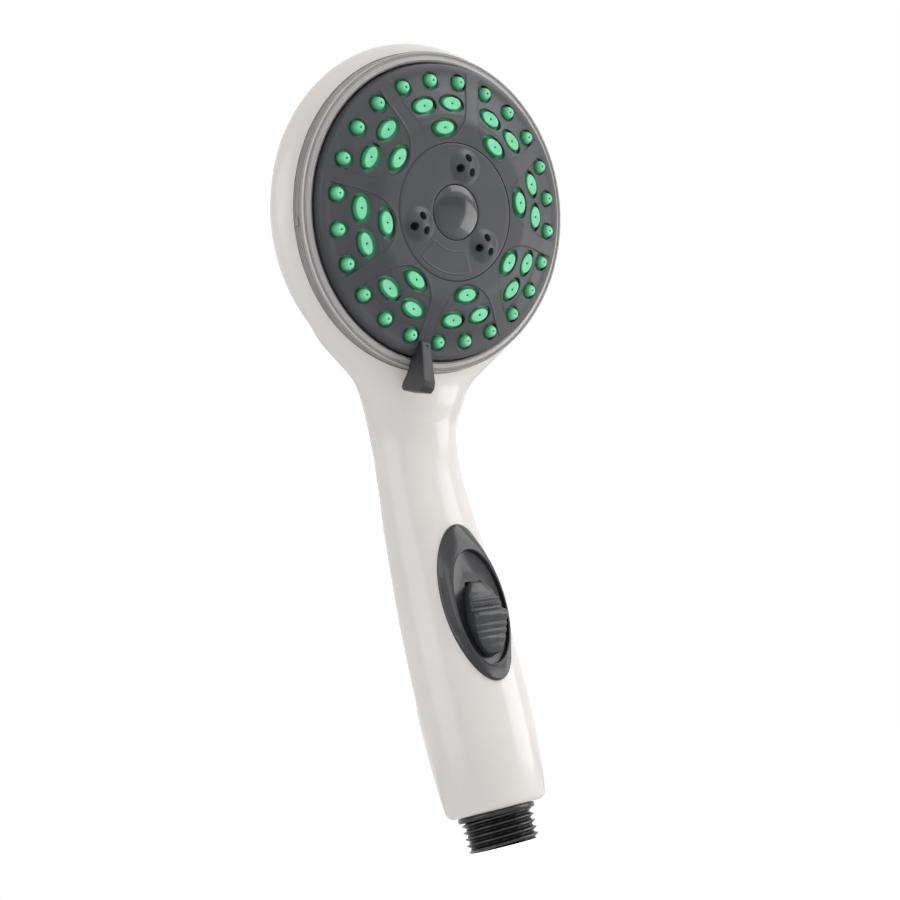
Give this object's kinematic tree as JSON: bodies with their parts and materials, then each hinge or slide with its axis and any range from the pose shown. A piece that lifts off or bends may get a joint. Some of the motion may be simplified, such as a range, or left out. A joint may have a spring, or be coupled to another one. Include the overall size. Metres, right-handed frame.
{
  "type": "handheld shower head",
  "caption": "Handheld shower head with a lever-turned spray face, soft spray nozzles, a centre pulse turbine and a thumb pause slide on the handle.",
  "frame": {"origin": "centre of the inlet's end face, at the mouth of the waterway", "axes": "+Z along the inlet and up the handle to the head; the spray face looks towards -Y, tilted 25 degrees down; +X to the right when facing the spray face"},
  "size_m": [0.1016, 0.0794, 0.2304],
  "materials": {
    "housing": "gloss",
    "ring_clear": "gloss, translucent",
    "thread_black": "satin",
    "face_grey": "satin",
    "disc_grey": "satin",
    "nozzle_mint": "soft satin",
    "surround_dark": "gloss",
    "button_dark": "gloss",
    "inner_black": "matte",
    "inner_white": "satin",
    "tube_grey": "matte",
    "steel": "brushed",
    "seal_black": "matte",
    "filter_white": "satin"
  },
  "bodies": {
    "handle": {"handle_shell": "housing", "clear_ring": "ring_clear", "inlet_fitting": "thread_black", "inlet_filter": "filter_white", "flow_restrictor": "nozzle_mint", "inlet_seal": "seal_black", "lower_tube": "tube_grey", "valve_body": "inner_black", "upper_tube": "tube_grey", "tube_seals": "seal_black", "manifold": "inner_black", "port_seal": "seal_black", "port_spring": "steel", "click_spring": "steel", "centre_screw": "steel", "screw_washer": "steel", "manifold_screws": "steel", "switch_bezel": "surround_dark"},
    "selector": {"faceplate": "face_grey", "selector_lever": "face_grey", "nozzle_mat": "nozzle_mint", "jet_disc": "disc_grey", "centre_cap": "disc_grey", "chamber_plate": "inner_black", "diverter_disc": "inner_white", "hub_seal": "seal_black"},
    "turbine": {"pulse_turbine": "inner_white"},
    "pause_slide": {"thumb_slide": "button_dark", "slide_carrier": "inner_black", "valve_spool": "inner_white", "spool_rings": "seal_black"}
  },
  "joints": [
    {"name": "selector_turn", "type": "hinge", "parent": "handle", "child": "selector", "pos_m": [0, -0.0498, 0.1768], "axis": [0, -0.9063, -0.4226], "range_deg": [-48, 72], "deforming": ["click_spring"]},
    {"name": "turbine_spin", "type": "hinge", "parent": "selector", "child": "turbine", "pos_m": [0, -0.0498, 0.1768], "axis": [0, -0.9063, -0.4226], "continuous": true},
    {"name": "pause_slide_travel", "type": "slide", "parent": "handle", "child": "pause_slide", "axis": [0, 0, 1], "range_m": [0, 0.007]}
  ]
}
